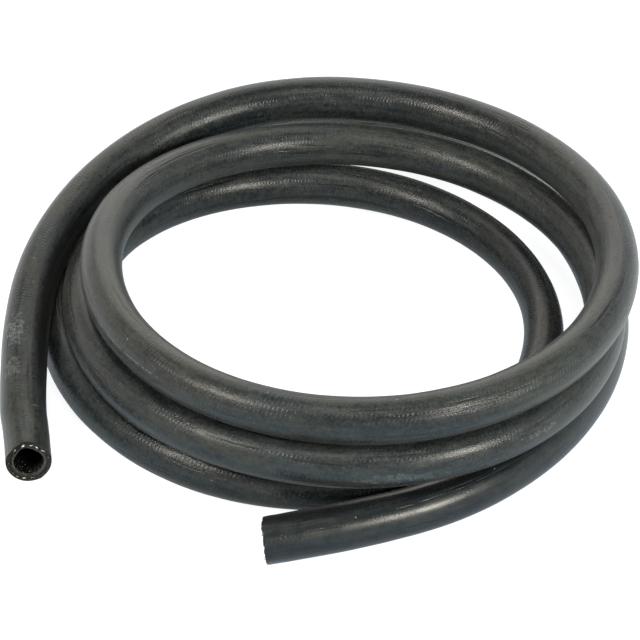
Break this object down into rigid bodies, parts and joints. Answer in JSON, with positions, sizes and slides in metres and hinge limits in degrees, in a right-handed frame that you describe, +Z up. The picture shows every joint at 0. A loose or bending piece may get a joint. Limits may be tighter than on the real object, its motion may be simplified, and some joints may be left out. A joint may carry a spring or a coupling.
{
  "type": "garden hose coil",
  "caption": "Short length of yarn-reinforced black rubber hose with bare cut ends, lying flat as a loose stacked coil of nearly four turns.",
  "frame": {"origin": "middle of the coil's footprint, on the floor that it lies on", "axes": "+Z up from the floor, +X to the right and -Y to the front, where both cut ends lie"},
  "size_m": [0.2845, 0.331, 0.0638],
  "materials": {
    "black_rubber": "satin",
    "liner_rubber": "matte",
    "white_yarn": "matte"
  },
  "bodies": {
    "root": {"hose_coil": "black_rubber", "end_a_cover": "black_rubber", "end_a_yarn": "white_yarn", "end_a_liner": "liner_rubber", "end_b_cover": "black_rubber", "end_b_yarn": "white_yarn", "end_b_liner": "liner_rubber"}
  },
  "joints": []
}
